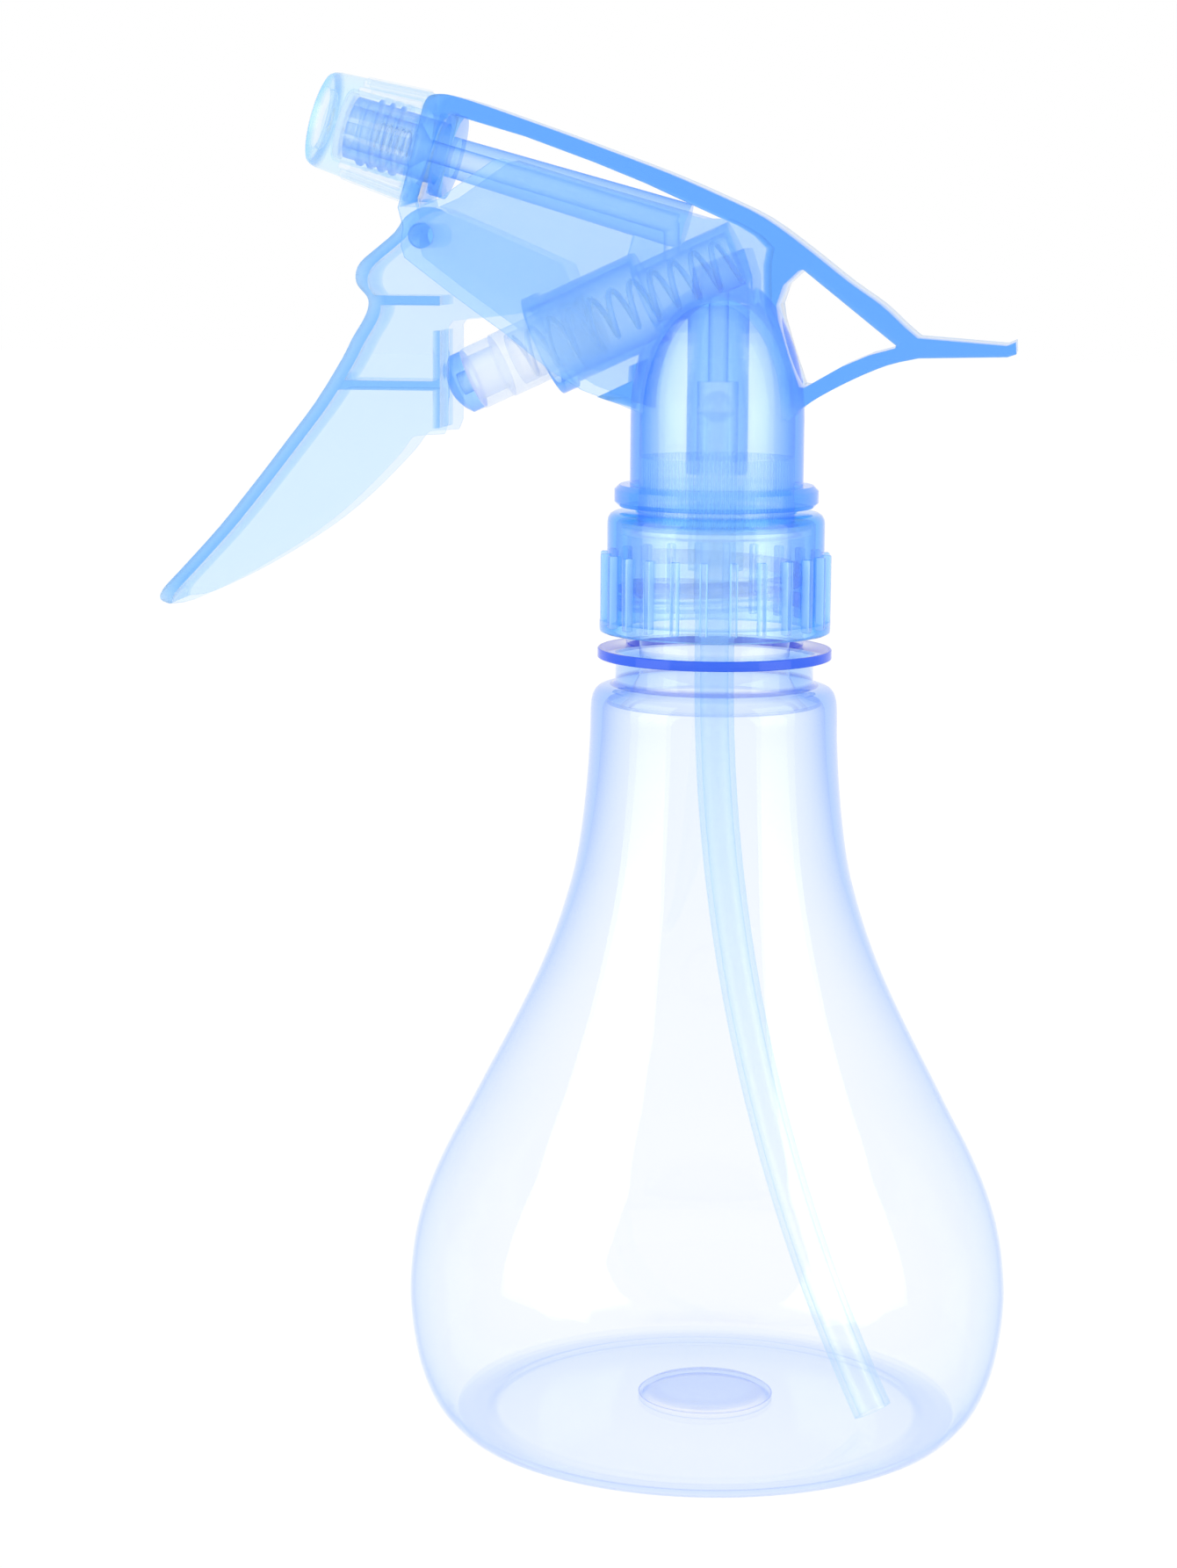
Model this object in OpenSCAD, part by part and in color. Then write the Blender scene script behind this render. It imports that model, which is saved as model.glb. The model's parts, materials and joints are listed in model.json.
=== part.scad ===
// Hand trigger sprayer on a pear-shaped bottle. Millimetres, +Z up, nozzle to -X, base centre at the origin.

/* [Show] */
// which piece is drawn
// segments on round faces
facets = 64; // [32:8:128]

/* [Bottle] */
// height of the drawing's datum over the standing plane
datum_z = 6; // [0:0.5:12]
// wall of the blown body
wall = 0.9; // [0.6:0.1:1.5]
// radius of the straight collar under the neck
collar_r = 17.4; // [16:0.1:19]
// top of the rounded shoulder
shoulder_z = 101.2; // [98:0.1:104]
// radius of the plain neck below the support ring
neck_r = 13.95; // [13.5:0.05:14.5]
// radius of the bore through the neck
bore_r = 10.6; // [10:0.1:11]
// support ring radius
ring_r = 16.5; // [16:0.1:17]
// underside of the support ring
ring_z = 105.2; // [104:0.1:106]
// support ring thickness
ring_t = 1.3; // [1:0.1:2]
// height of the sealing lip
lip_z = 122.6; // [121:0.1:124]
// height of the push-up in the base
punt = 2.6; // [1:0.1:5]
// inner radius of the flat ring it stands on
foot_in = 32.2; // [30:0.1:33]
// outer radius of the flat ring it stands on
foot_out = 34.2; // [33.5:0.1:35.5]

/* [Neck thread] */
// rise per turn of the 28 mm neck thread
pitch = 4.23; // [4:0.01:4.5]
// root radius on the neck
root_r = 12.5; // [12:0.1:13]
// crest radius on the neck
crest_r = 13.75; // [13.5:0.05:14]
// height where the neck thread starts
thread_z = 112.6; // [111:0.1:114]

/* [Closure] */
// upper outside radius
cap_r = 15.25; // [15:0.05:16]
// radius over ribs and bottom band
band_r = 16.25; // [16:0.05:17]
// bottom edge
cap_z = 108.8; // [108:0.1:110]
// top edge
cap_top = 125.7; // [125:0.1:127]
// number of grip ribs
cap_ribs = 24; // [12:1:36]

/* [Head] */
// outside width over the cheeks
head_w = 15; // [13:0.1:17]
// cheek thickness
cheek_t = 0.85; // [0.6:0.05:1.2]
// stem radius
stem_r = 12.15; // [11.5:0.05:13]
// start of the dome on the stem
dome_z = 139; // [136:0.1:142]
// height of the dome
dome_h = 20; // [16:0.1:22]
// slope of the pump barrel, degrees
barrel_tilt = 25; // [20:0.5:30]
// slope of the spray tube, degrees
tube_tilt = 16; // [12:0.5:20]

/* [Pump] */
// bore of the pump barrel
barrel_bore = 5.7; // [5:0.05:6.5]
// piston radius
piston_r = 4.65; // [4:0.05:5]
// spring coil mean radius
coil_r = 3.1; // [2.5:0.1:3.5]
// spring wire radius
wire_r = 0.38; // [0.3:0.02:0.6]

/* [Trigger] */
// width over the side plates
trigger_w = 12.6; // [11:0.1:13]
// side plate thickness
plate_t = 1; // [0.8:0.1:1.5]
// pin radius
pin_r = 1.75; // [1.5:0.05:2]

/* [Nozzle] */
// rear radius of the nozzle cap
noz_rear = 7.8; // [7:0.1:9]
// front radius of the nozzle cap
noz_front = 6.6; // [6:0.1:8]
// length of the nozzle cap
noz_len = 14.9; // [12:0.1:18]
// rise per turn of the nozzle thread
noz_pitch = 1.6; // [1:0.1:2]
// number of grip ribs on the nozzle
noz_ribs = 18; // [8:1:30]

/* [Hidden] */
$fn = facets;
eps = 0.01;
sky = [0.45, 0.72, 0.98, 0.6];
pale = [0.72, 0.86, 1, 0.6];
deep = [0.3, 0.6, 0.95, 0.7];
clear = [0.86, 0.88, 1, 0.35];
milk = [0.9, 0.95, 1, 0.8];
steel = [0.75, 0.77, 0.8];
gap_w = head_w - 2 * cheek_t;
stem_in = stem_r - 1.25;
flange_z = lip_z + 0.9;
gasket_t = 0.9;
barrel_o = [-34, 144];
barrel_mouth = 10.4;
barrel_step = 26.2;
barrel_end = 41;
pin_at = [-40.7, 163.6];
nose_o = [-42.15, 175.7];
button_sphere = 6;
button_s = 1.82;
dip_bend = 222;
dip_turn = 28.3;
dip_z = 104;
dip_yaw = -20;

// ---- curve and placing helpers ----
function spline(a, b, c, d, t) =
    0.5 * (2 * b + (c - a) * t + (2 * a - 5 * b + 4 * c - d) * t * t + (3 * b - a - 3 * c + d) * t * t * t);
function smooth(p, n) = let (m = len(p)) concat(
    [for (i = [0:m - 2]) for (k = [0:n - 1])
        spline(p[max(i - 1, 0)], p[i], p[i + 1], p[min(i + 2, m - 1)], k / n)], [p[m - 1]]);
function unit(v) = v / norm(v);
function inset(p, d) = [for (i = [0:len(p) - 1])
    let (u = unit(p[min(i + 1, len(p) - 1)] - p[max(i - 1, 0)])) [max(p[i][0] - d * u[1], 0), p[i][1] + d * u[0]]];
function reversed(p) = [for (i = [len(p) - 1:-1:0]) p[i]];

module stand() translate([0, 0, datum_z]) children();
module plate(w) rotate([90, 0, 0]) linear_extrude(w, center = true) children();
module on_barrel(s = 0) translate([barrel_o[0], 0, barrel_o[1]]) rotate([0, 90 - barrel_tilt, 0])
    translate([0, 0, s]) children();
module on_nozzle(s = 0) translate([nose_o[0], 0, nose_o[1]]) rotate([0, tube_tilt - 90, 0])
    translate([0, 0, s]) children();
module ring(r_out, r_in, h) difference() {
    cylinder(r = r_out, h = h);
    translate([0, 0, -1]) cylinder(r = r_in, h = h + 2);
}

// helical ridge: base radius rb, crest radius rc, widths wb and wc, starting at height z0
function ridge_end(k, n) = min(1, min(k, n - k) / 4 + 0.05);
module helix_ridge(rb, rc, wb, wc, z0, rise, turns, start = 0, per_turn = 36) {
    n = round(turns * per_turn);
    pts = [for (k = [0:n])
        let (a = start + 360 * k / per_turn, z = z0 + rise * k / per_turn,
            r = rb + (rc - rb) * ridge_end(k, n), c = cos(a), s = sin(a))
        each [[rb * c, rb * s, z - wb / 2], [r * c, r * s, z - wc / 2],
              [r * c, r * s, z + wc / 2], [rb * c, rb * s, z + wb / 2]]];
    sides = [for (k = [0:n - 1]) for (j = [0:3]) let (a = 4 * k + j, b = 4 * k + (j + 1) % 4)
        each [[a, a + 4, b + 4], [a, b + 4, b]]];
    flip = rc > rb;
    f = concat([[0, 1, 2], [0, 2, 3]], sides, [[4 * n, 4 * n + 2, 4 * n + 1], [4 * n, 4 * n + 3, 4 * n + 2]]);
    polyhedron(pts, flip ? [for (t = f) [t[0], t[2], t[1]]] : f, convexity = 8);
}

// round-wire compression spring along +Z with closed end coils
module coil(r, w, length, turns, per_turn = 16, around = 8) {
    n = turns * per_turn;
    function rise(u) = let (e = 0.08) length * (u < e ? u * 0.45 : u > 1 - e ? 1 - (1 - u) * 0.45
        : 0.45 * e + (u - e) * (1 - 0.9 * e) / (1 - 2 * e));
    pts = [for (k = [0:n]) let (a = 360 * k / per_turn, z = w + rise(k / n) * (length - 2 * w) / length)
        for (j = [0:around - 1]) let (b = 360 * j / around, q = r + w * cos(b))
            [q * cos(a), q * sin(a), z + w * sin(b)]];
    sides = [for (k = [0:n - 1]) for (j = [0:around - 1])
        let (a = k * around + j, b = k * around + (j + 1) % around)
        each [[a, b + around, b], [a, a + around, b + around]]];
    ends = [for (j = [1:around - 2]) each [[0, j, j + 1], [n * around, n * around + j + 1, n * around + j]]];
    f = concat(sides, ends);
    polyhedron(pts, [for (t = f) [t[0], t[2], t[1]]], convexity = 10);
}

// ---- bottle and closure ----
base_line = [[0, punt + 0.7], [7.6, punt + 0.6], [9.2, punt - 0.2], [16, 2.2], [25.6, 1.1], [30, 0.5], [foot_in, 0]];
side_line = [[foot_out, 0], [37.3, 1.3], [40, 4.8], [41.95, 10.4], [42.95, 18], [42.6, 24.4], [41.6, 29.7],
    [39.85, 34.9], [37.5, 40.1], [34.85, 45.1], [32.2, 50.3], [29.5, 55.5], [26.95, 60.6], [24.55, 65.8],
    [22.5, 71], [20.8, 76.2], [19.45, 81.4], [18.5, 87.4], [17.85, 93.8], [17.5, 99.6], [collar_r, 104.6]];
shoulder_line = [[collar_r, 104.6], [17.1, 106.3], [16.2, 107.1], [neck_r, 107.3]];
function lowered(p) = [for (q = p) [q[0], q[1] - datum_z]];

module bottle() color(clear) stand() {
    body = lowered(concat(smooth(base_line, 3), smooth(side_line, 4), smooth(shoulder_line, 4)));
    rim = [[neck_r, ring_z], [ring_r, ring_z + 0.15], [ring_r, ring_z + ring_t - 0.15], [neck_r, ring_z + ring_t],
        [root_r, ring_z + ring_t], [root_r, lip_z - 0.3], [root_r - 0.3, lip_z],
        [bore_r + 0.3, lip_z], [bore_r, lip_z - 0.3], [bore_r, shoulder_z - 1.2]];
    hollow = lowered(reversed(inset(concat(smooth(base_line, 3), smooth(side_line, 4)), wall)));
    rotate_extrude() polygon(concat(body, rim, [[collar_r - 2.2, 99.8]], hollow));
    helix_ridge(root_r - 0.4, crest_r, 2.2, 0.9, thread_z, pitch, 1.4);
}

module closure_gasket() color(milk) stand() translate([0, 0, lip_z]) ring(13.4, 9.4, gasket_t);

module closure_cap() color(deep) stand() {
    difference() {
        union() {
            translate([0, 0, cap_z]) rotate_extrude() polygon([[13, 0], [band_r, 0], [band_r, 1.7], [cap_r, 1.9],
                [cap_r, cap_top - cap_z - 1.2], [cap_r - 0.35, cap_top - cap_z - 0.35],
                [cap_r - 1.2, cap_top - cap_z], [0, cap_top - cap_z], [0, 10], [13, 10]]);
            for (k = [0:cap_ribs - 1]) rotate([0, 0, k * 360 / cap_ribs]) plate(1.05)
                polygon([[cap_r - 0.4, cap_z + 1], [band_r, cap_z + 1], [band_r, cap_z + 10.4],
                    [cap_r - 0.4, cap_z + 11.6]]);
        }
        translate([0, 0, cap_z - 1]) cylinder(r = 14, h = cap_top - cap_z - 0.4);
        translate([0, 0, cap_z]) cylinder(r = 11.2, h = 30);
    }
    helix_ridge(14.3, 12.9, 1.7, 0.7, thread_z - pitch / 2 + pitch / 12, pitch, 1.2, 30);
}

// ---- intake ----
module inlet_adapter() color(sky) stand() difference() {
    union() {
        translate([0, 0, flange_z]) cylinder(r = 13.4, h = 0.7);
        translate([0, 0, flange_z]) ring(stem_in - 0.05, stem_in - 1.3, 9.9);
        translate([0, 0, flange_z + 0.6]) cylinder(r = stem_in - 1, h = 1);
        translate([0, 0, 117.5]) cylinder(r = 3.9, h = 12);
        cylinder(r = 2.85, h = 139.5);
    }
    translate([0, 0, -1]) cylinder(r = 6, h = 118.5);
    translate([0, 0, 117]) cylinder(r = 2.82, h = 10);
    translate([0, 0, 126]) cylinder(r = 1.6, h = 20);
    translate([0, 0, 138.7]) cylinder(r1 = 1.6, r2 = 2.475, h = 1);
    for (k = [0:2]) rotate([0, 0, 120 * k + 60]) translate([7.2, 0, 120]) cylinder(r = 0.9, h = 8);
}

module dip_path(r, extra = 0) {
    translate([0, 0, dip_z]) cylinder(r = r, h = 127 - dip_z + extra);
    translate([dip_bend, 0, dip_z]) rotate([0, 0, 180]) rotate([-90, 0, 0])
        rotate_extrude(angle = dip_turn) translate([dip_bend, 0]) circle(r = r);
}
module dip_tube() color(pale) stand() rotate([0, 0, dip_yaw]) difference() {
    dip_path(2.8);
    dip_path(2, 1);
}

module inlet_ball() color(clear) stand() translate([0, 0, 140.25]) sphere(r = 2.2);

// ---- pump body ----
module dome(grow = 0) rotate_extrude() polygon(concat([[0, 120]], [[stem_r + grow, 120]],
    [for (a = [0:6:90]) [(stem_r + grow) * cos(a), dome_z + (dome_h + grow) * sin(a)]]));
module dome_hollow() rotate_extrude() polygon(concat([[0, 100], [stem_in, 100]],
    [for (a = [0:6:90]) [stem_in * cos(a), dome_z - 1 + (dome_h - 0.6) * sin(a)]]));

module pump_body() color(sky) stand() difference() {
    union() {
        difference() {
            union() {
                dome();
                translate([0, 0, 126.4]) rotate_extrude() polygon([[0, 0], [13.6, 0], [14.3, 0.7],
                    [14.3, 2.35], [13.6, 3.05], [0, 3.05]]);
            }
            dome_hollow();
            difference() {
                translate([0, 0, 118]) cylinder(r = 20, h = 8.4);
                translate([0, 0, 118]) cylinder(r = 11.05, h = 9);
            }
            translate([0, 0, 100]) cylinder(r = 20, h = flange_z + 0.75 - 100);
        }
        translate([0, 0, 131]) cylinder(r = 4.3, h = 25);
        intersection() {
            on_barrel() union() {
                translate([0, 0, barrel_mouth]) cylinder(r = 7.2, h = 2.2);
                translate([0, 0, barrel_mouth]) cylinder(r = 6.6, h = barrel_step + 1 - barrel_mouth);
                translate([0, 0, barrel_step]) cylinder(r = 4.95, h = barrel_end - barrel_step);
            }
            translate([-60, -gap_w / 2 + 0.05, 120]) cube([90, gap_w - 0.1, 60]);
        }
        on_nozzle(-39) cylinder(r1 = 3.3, r2 = 2.8, h = 36);
        on_nozzle(-5.2) cylinder(r = 5.9, h = 2);
        on_nozzle(-4) cylinder(r = 4.35, h = 14);
        on_nozzle(2) helix_ridge(4.2, 4.85, 0.8, 0.35, 0, noz_pitch, 4);
        plate(2) polygon([[-13, 160], [-11.6, 165.5], [-6, 165], [-2, 158]]);
        plate(gap_w) polygon([[-3, 159.5], [4, 162.2], [5.2, 158.5], [5.4, 154.5], [-3, 154]]);
    }
    on_barrel(barrel_mouth - 1) cylinder(r = barrel_bore, h = barrel_step - barrel_mouth + 1);
    on_barrel(barrel_step - 1) cylinder(r = 3.9, h = barrel_end - barrel_step);
    translate([0, 0, 130]) cylinder(r = 2.9, h = 13.8);
    translate([0, 0, 140]) cylinder(r = 1.4, h = 18);
    translate([-6.7, 0, 157]) cylinder(r = 1.1, h = 8.6);
    on_nozzle(-37.5) cylinder(r = 1.5, h = 36.5);
    on_nozzle(-1.5) cylinder(r = 1.3, h = 3);
    on_nozzle(-1.3) cylinder(r1 = 1.3, r2 = 3.3, h = 2);
    on_nozzle(0.4) cylinder(r = 3, h = 12);
}

// ---- shroud ----
top_line = [[-40.3, 181.3], [-39.5, 182.5], [-37.9, 182.8], [-36, 182.5], [-31.4, 181.1], [-22.6, 178.1],
    [-14.5, 175.2], [-6.6, 172.3], [0.3, 169.4], [6.7, 166.4], [12.7, 162.2], [18.4, 157.8], [22.9, 154.7],
    [26, 151.9], [27.9, 150.3]];
under_line = [[28.1, 147.6], [23.9, 146.6], [19.2, 144.6], [14.7, 142.2], [12.1, 140.4], [10.5, 138.9]];
inner_line = [[6.8, 154], [6.7, 160], [7.1, 162.2], [5.4, 163.9], [3.2, 165.2], [-0.8, 167], [-9.6, 170.9],
    [-16.7, 173.7], [-26.2, 177.1], [-36.6, 180.1]];
window = [[11.6, 159.3], [12.2, 159.4], [25, 149.3], [24.9, 148.9], [21.3, 147.9], [17.6, 146.3], [12.6, 143.4],
    [11.9, 143.5], [10.3, 148], [8.9, 152.5], [8.6, 154.6], [9.5, 157.3]];
cheek_line = [[-43.9, 167.4], [-43.2, 164.9], [-43.5, 162.3], [-43, 160.6], [-37.4, 156.4], [-32.1, 152.6],
    [-29.1, 150.5], [-22.5, 145.3], [-18.1, 142.7], [-14.5, 141.4], [-11.3, 140.2], [-9.7, 139.6],
    [9, 139.6], [10.5, 138.9], [12.1, 140.4], [11.4, 143.2], [8.6, 152.5], [8.2, 156], [9.3, 159.2], [9.5, 163],
    [4, 166.2], [-1.6, 166.2], [-18.6, 170.9], [-23.6, 172.4], [-29.2, 174.1], [-30.6, 173.9], [-34.6, 171.1],
    [-37.9, 168.8], [-40.9, 167.5], [-41.3, 169.4], [-43.3, 169.6]];

skirt_wall = [[-16, 141.8], [-11.8, 143.8], [-11.7, 146], [-9, 147.2], [-9.6, 143.8], [-10.8, 140.2]];

module shroud() color(pale) stand() difference() {
    union() {
        plate(head_w) difference() {
            polygon(concat(smooth(top_line, 3), [[40, 149.4], [41.2, 149.9], [41.3, 148.3], [40.1, 147.9]],
                smooth(under_line, 3), [[8.8, 140], [8.2, 150.3]], inner_line,
                [[-37.9, 180.2], [-41.3, 168.2], [-43.8, 167.5]]));
            polygon(window);
        }
        plate(head_w) polygon(skirt_wall);
        for (s = [-1, 1]) translate([0, s * (head_w - cheek_t) / 2, 0]) plate(cheek_t) polygon(cheek_line);
    }
    dome(0.04);
    translate([pin_at[0], 0, pin_at[1]]) rotate([90, 0, 0]) cylinder(r = pin_r + 0.02, h = 30, center = true);
    on_nozzle(-8) cylinder(r = 5, h = 12);
    on_nozzle(-3.9) cylinder(r = 6.1, h = 0.95);
}

// ---- piston group ----
module piston() color(milk) stand() on_barrel() difference() {
    union() {
        translate([0, 0, -2.4]) cylinder(r = 1.6, h = 3);
        translate([0, 0, -0.5]) cylinder(r = 3.2, h = 5);
        translate([0, 0, 3.9]) cylinder(r = piston_r, h = 14.9);
    }
    translate([0, 0, 6]) cylinder(r = 3.75, h = 20);
    difference() {
        translate([0, 0, 14.8]) cylinder(r = 6, h = 3.2);
        translate([0, 0, 14]) cylinder(r = 4.3, h = 5);
    }
}
module piston_collar() color([0.93, 0.97, 1]) stand() on_barrel(-0.5) ring(4.5, 3.22, 4.4);
module piston_button() color(deep) stand() on_barrel() difference() {
    intersection() {
        translate([0, 0, -5]) cylinder(r = 4.3, h = 4.5);
        translate([0, 0, button_s]) sphere(r = button_sphere);
    }
    translate([0, 0, -2.5]) cylinder(r = 1.62, h = 3);
}
module piston_seal() color(milk) stand() on_barrel(14.85) difference() {
    union() {
        cylinder(r = 5.2, h = 3.1);
        cylinder(r1 = 5.65, r2 = 5.2, h = 1);
        translate([0, 0, 2.1]) cylinder(r1 = 5.2, r2 = 5.65, h = 1);
    }
    translate([0, 0, -1]) cylinder(r = 4.32, h = 6);
}
module piston_spring() color(steel) stand() on_barrel(6.05) coil(coil_r, wire_r, barrel_end - 7.15, 11);

// ---- trigger ----
trigger_front = [[-38.4, 167.2], [-40.6, 167.5], [-43, 166.2], [-44.6, 164], [-47.3, 161.7], [-49.4, 159.9],
    [-50.1, 158.2], [-49.8, 156.7], [-48.5, 155.2], [-48.3, 153.9], [-48.9, 152.2], [-50.6, 149.4], [-52.1, 146.5],
    [-55.8, 140.6], [-60.3, 134.7], [-64.9, 128.8], [-69.8, 122.8], [-75.3, 116.8], [-78.1, 113.8], [-78.5, 112.3],
    [-77.2, 111.7]];
trigger_back = [[-77.2, 111.7], [-73.5, 112.4], [-67, 115.5], [-61.6, 118.6], [-56.9, 121.6], [-52.9, 124.6],
    [-49.5, 127.6], [-46.5, 130.6], [-43.8, 133.5], [-42.4, 135.4], [-41.4, 136], [-37.6, 136.3]];
trigger_top = [[-37, 137.8], [-37, 151.2], [-36.4, 152], [-32, 152.4], [-27.2, 153], [-20.1, 157.4],
    [-20.9, 159.8], [-30.4, 163.9]];

module trigger_shape() polygon(concat(smooth(trigger_front, 3), smooth(trigger_back, 3), trigger_top));

module trigger() color(pale) stand() difference() {
    union() {
        plate(trigger_w) trigger_shape();
    }
    plate(trigger_w - 2 * plate_t) difference() {
        translate([1.5, -0.6]) trigger_shape();
        polygon([[-39.4, 137], [-38.4, 137], [-38.4, 150.5], [-39.4, 150.5]]);
        translate([-58, 154]) square([19.6, 1.3]);
        translate([-58, 142.2]) square([19.6, 1.3]);
    }
    plate(trigger_w - 2 * plate_t) polygon([[-38.4, 120], [-20, 120], [-10, 170], [-33, 170], [-38.4, 151]]);
    translate([pin_at[0], 0, pin_at[1]]) rotate([90, 0, 0]) cylinder(r = pin_r + 0.05, h = 30, center = true);
}
module trigger_pin() color(deep) stand() translate([pin_at[0], 0, pin_at[1]]) rotate([90, 0, 0])
    cylinder(r = pin_r, h = head_w, center = true);

// ---- nozzle ----
module outlet_ball() color(clear) stand() on_nozzle(0.13) sphere(r = 1.9);
module outlet_spring() color(steel) stand() on_nozzle(1.62) coil(1.7, 0.22, 4.8, 5, 16, 6);
module swirl_plug() color(milk) stand() on_nozzle(6.5) difference() {
    cylinder(r = 2.94, h = 3.8);
    translate([0, 0, -1]) cylinder(r = 1.3, h = 2.2);
    for (k = [0:2]) rotate([0, 0, 120 * k]) {
        translate([2.94, 0, -1]) cylinder(r = 0.6, h = 6);
        translate([0.3, -0.25, 3.3]) cube([4, 0.5, 1]);
    }
    translate([0, 0, 3.3]) cylinder(r = 1.1, h = 1);
}
module nozzle_seal() color(milk) stand() on_nozzle(10.5) ring(4.7, 0.9, 0.8);
module nozzle_cap() color(pale) stand() on_nozzle() {
    difference() {
        union() {
            rotate_extrude() polygon([[4, 0], [noz_rear - 0.3, 0], [noz_rear, 0.3], [noz_front, noz_len - 0.9],
                [noz_front - 0.3, noz_len - 0.3], [noz_front - 1, noz_len], [0, noz_len], [0, 11.4], [4, 11.4]]);
            for (k = [0:noz_ribs - 1]) rotate([0, 0, k * 360 / noz_ribs]) plate(1.3)
                polygon([[6, 0.3], [8.25, 0.3], [7.55, 9.2], [7, 9.9], [6, 9.9]]);
        }
        translate([0, 0, -1]) cylinder(r = 5.2, h = 12.4);
        translate([0, 0, 10]) cylinder(r = 0.4, h = 6);
        translate([0, 0, 13]) cylinder(r1 = 0.4, r2 = 1.2, h = 0.6);
        translate([0, 0, 13.5]) cylinder(r = 4.3, h = 3);
    }
    helix_ridge(5.35, 4.65, 0.8, 0.35, 2, noz_pitch, 3, 180);
}

bottle();
closure_gasket();
closure_cap();
inlet_adapter();
dip_tube();
inlet_ball();
pump_body();
shroud();
piston();
piston_collar();
piston_button();
piston_seal();
piston_spring();
trigger();
trigger_pin();
outlet_ball();
outlet_spring();
swirl_plug();
nozzle_seal();
nozzle_cap();
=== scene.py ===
# %% [markdown]
# # A trigger spray bottle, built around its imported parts
#
# The bottle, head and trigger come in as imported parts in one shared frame, in metres, with the
# nozzle towards -X and +Z up. This lesson remakes the pieces whose looks matter most, gives every
# piece a material named for the real plastic or steel, and sets up a plain white studio.

import json
import math

import bmesh
import bpy
from mathutils import Matrix, Vector


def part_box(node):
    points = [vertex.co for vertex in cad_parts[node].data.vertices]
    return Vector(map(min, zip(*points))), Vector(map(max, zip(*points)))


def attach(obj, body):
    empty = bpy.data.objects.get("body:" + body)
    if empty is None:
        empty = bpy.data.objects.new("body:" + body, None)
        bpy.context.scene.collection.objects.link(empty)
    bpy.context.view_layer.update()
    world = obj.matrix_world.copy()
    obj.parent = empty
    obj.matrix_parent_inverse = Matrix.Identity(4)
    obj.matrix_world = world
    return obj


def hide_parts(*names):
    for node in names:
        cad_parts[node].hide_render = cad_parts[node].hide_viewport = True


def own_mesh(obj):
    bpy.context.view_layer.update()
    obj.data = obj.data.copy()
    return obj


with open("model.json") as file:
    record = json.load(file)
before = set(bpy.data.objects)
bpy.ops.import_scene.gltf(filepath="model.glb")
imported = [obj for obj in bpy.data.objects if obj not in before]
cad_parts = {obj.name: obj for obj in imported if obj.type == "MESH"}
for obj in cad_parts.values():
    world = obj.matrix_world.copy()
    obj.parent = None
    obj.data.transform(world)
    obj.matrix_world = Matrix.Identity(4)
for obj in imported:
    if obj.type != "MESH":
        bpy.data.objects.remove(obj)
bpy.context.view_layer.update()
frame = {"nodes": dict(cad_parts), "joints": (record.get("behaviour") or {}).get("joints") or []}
MM = 0.001
print("packed nodes:", sorted(frame["nodes"]))

# %% [markdown]
# ## Camera
#
# A hand sprayer shows its shape best from a little above, at about arm's length, through a long
# lens, so that the nozzle and the tail don't look stretched. The camera stands
# nearly square to the side of the head, turned a little towards the tail.

# %% Place the camera
CAMERA_DISTANCE = 0.48747
CAMERA_HEIGHT = 0.17166
CAMERA_AZIMUTH = math.radians(5.75)
CAMERA_YAW = math.radians(2.073)
CAMERA_TILT = math.radians(9.188)
CAMERA_ROLL = math.radians(0.403)
LENS_MM = 79.82
SENSOR_MM = 36

bpy.ops.object.camera_add(
    location=(
        CAMERA_DISTANCE * math.sin(CAMERA_AZIMUTH),
        -CAMERA_DISTANCE * math.cos(CAMERA_AZIMUTH),
        CAMERA_HEIGHT,
    )
)
camera = bpy.context.object
camera.name = "product_camera"
turn = (
    Matrix.Rotation(CAMERA_AZIMUTH + CAMERA_YAW, 4, "Z")
    @ Matrix.Rotation(math.pi / 2 - CAMERA_TILT, 4, "X")
    @ Matrix.Rotation(CAMERA_ROLL, 4, "Z")
)
camera.rotation_euler = turn.to_euler()
camera.data.lens = LENS_MM
camera.data.sensor_width = SENSOR_MM
camera.data.clip_start = 0.01
bpy.context.scene.camera = camera
print("camera stands at", tuple(round(v, 3) for v in camera.location))

# %% [markdown]
# ## Small helpers
#
# Operators act on whatever is selected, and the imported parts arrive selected, so each step starts
# by letting go of everything. A curve through a few measured points gives the soft outlines that
# moulded plastic has.


# %% Helpers for meshes
def let_go():
    """Leaves edit mode and deselects everything."""
    if bpy.context.mode != "OBJECT":
        bpy.ops.object.mode_set(mode="OBJECT")
    bpy.ops.object.select_all(action="DESELECT")


def pick(piece):
    """Makes one piece the only selected and active one."""
    let_go()
    piece.select_set(True)
    bpy.context.view_layer.objects.active = piece


def through(points, steps):
    """A smooth run of points through the given ones."""
    run = []
    last = len(points) - 1
    for i in range(last):
        a, b = Vector(points[max(i - 1, 0)]), Vector(points[i])
        c, d = Vector(points[i + 1]), Vector(points[min(i + 2, last)])
        for k in range(steps):
            t = k / steps
            run.append(
                0.5
                * (
                    2 * b
                    + (c - a) * t
                    + (2 * a - 5 * b + 4 * c - d) * t * t
                    + (3 * b - a - 3 * c + d) * t**3
                )
            )
    return run + [Vector(points[-1])]


def wire_piece(name, points, closed=False):
    """A mesh of edges through points given in metres."""
    mesh = bpy.data.meshes.new(name)
    edges = [(i, i + 1) for i in range(len(points) - 1)]
    if closed:
        edges.append((len(points) - 1, 0))
    mesh.from_pydata([tuple(p) for p in points], edges, [])
    piece = bpy.data.objects.new(name, mesh)
    bpy.context.collection.objects.link(piece)
    pick(piece)
    return piece


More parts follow.
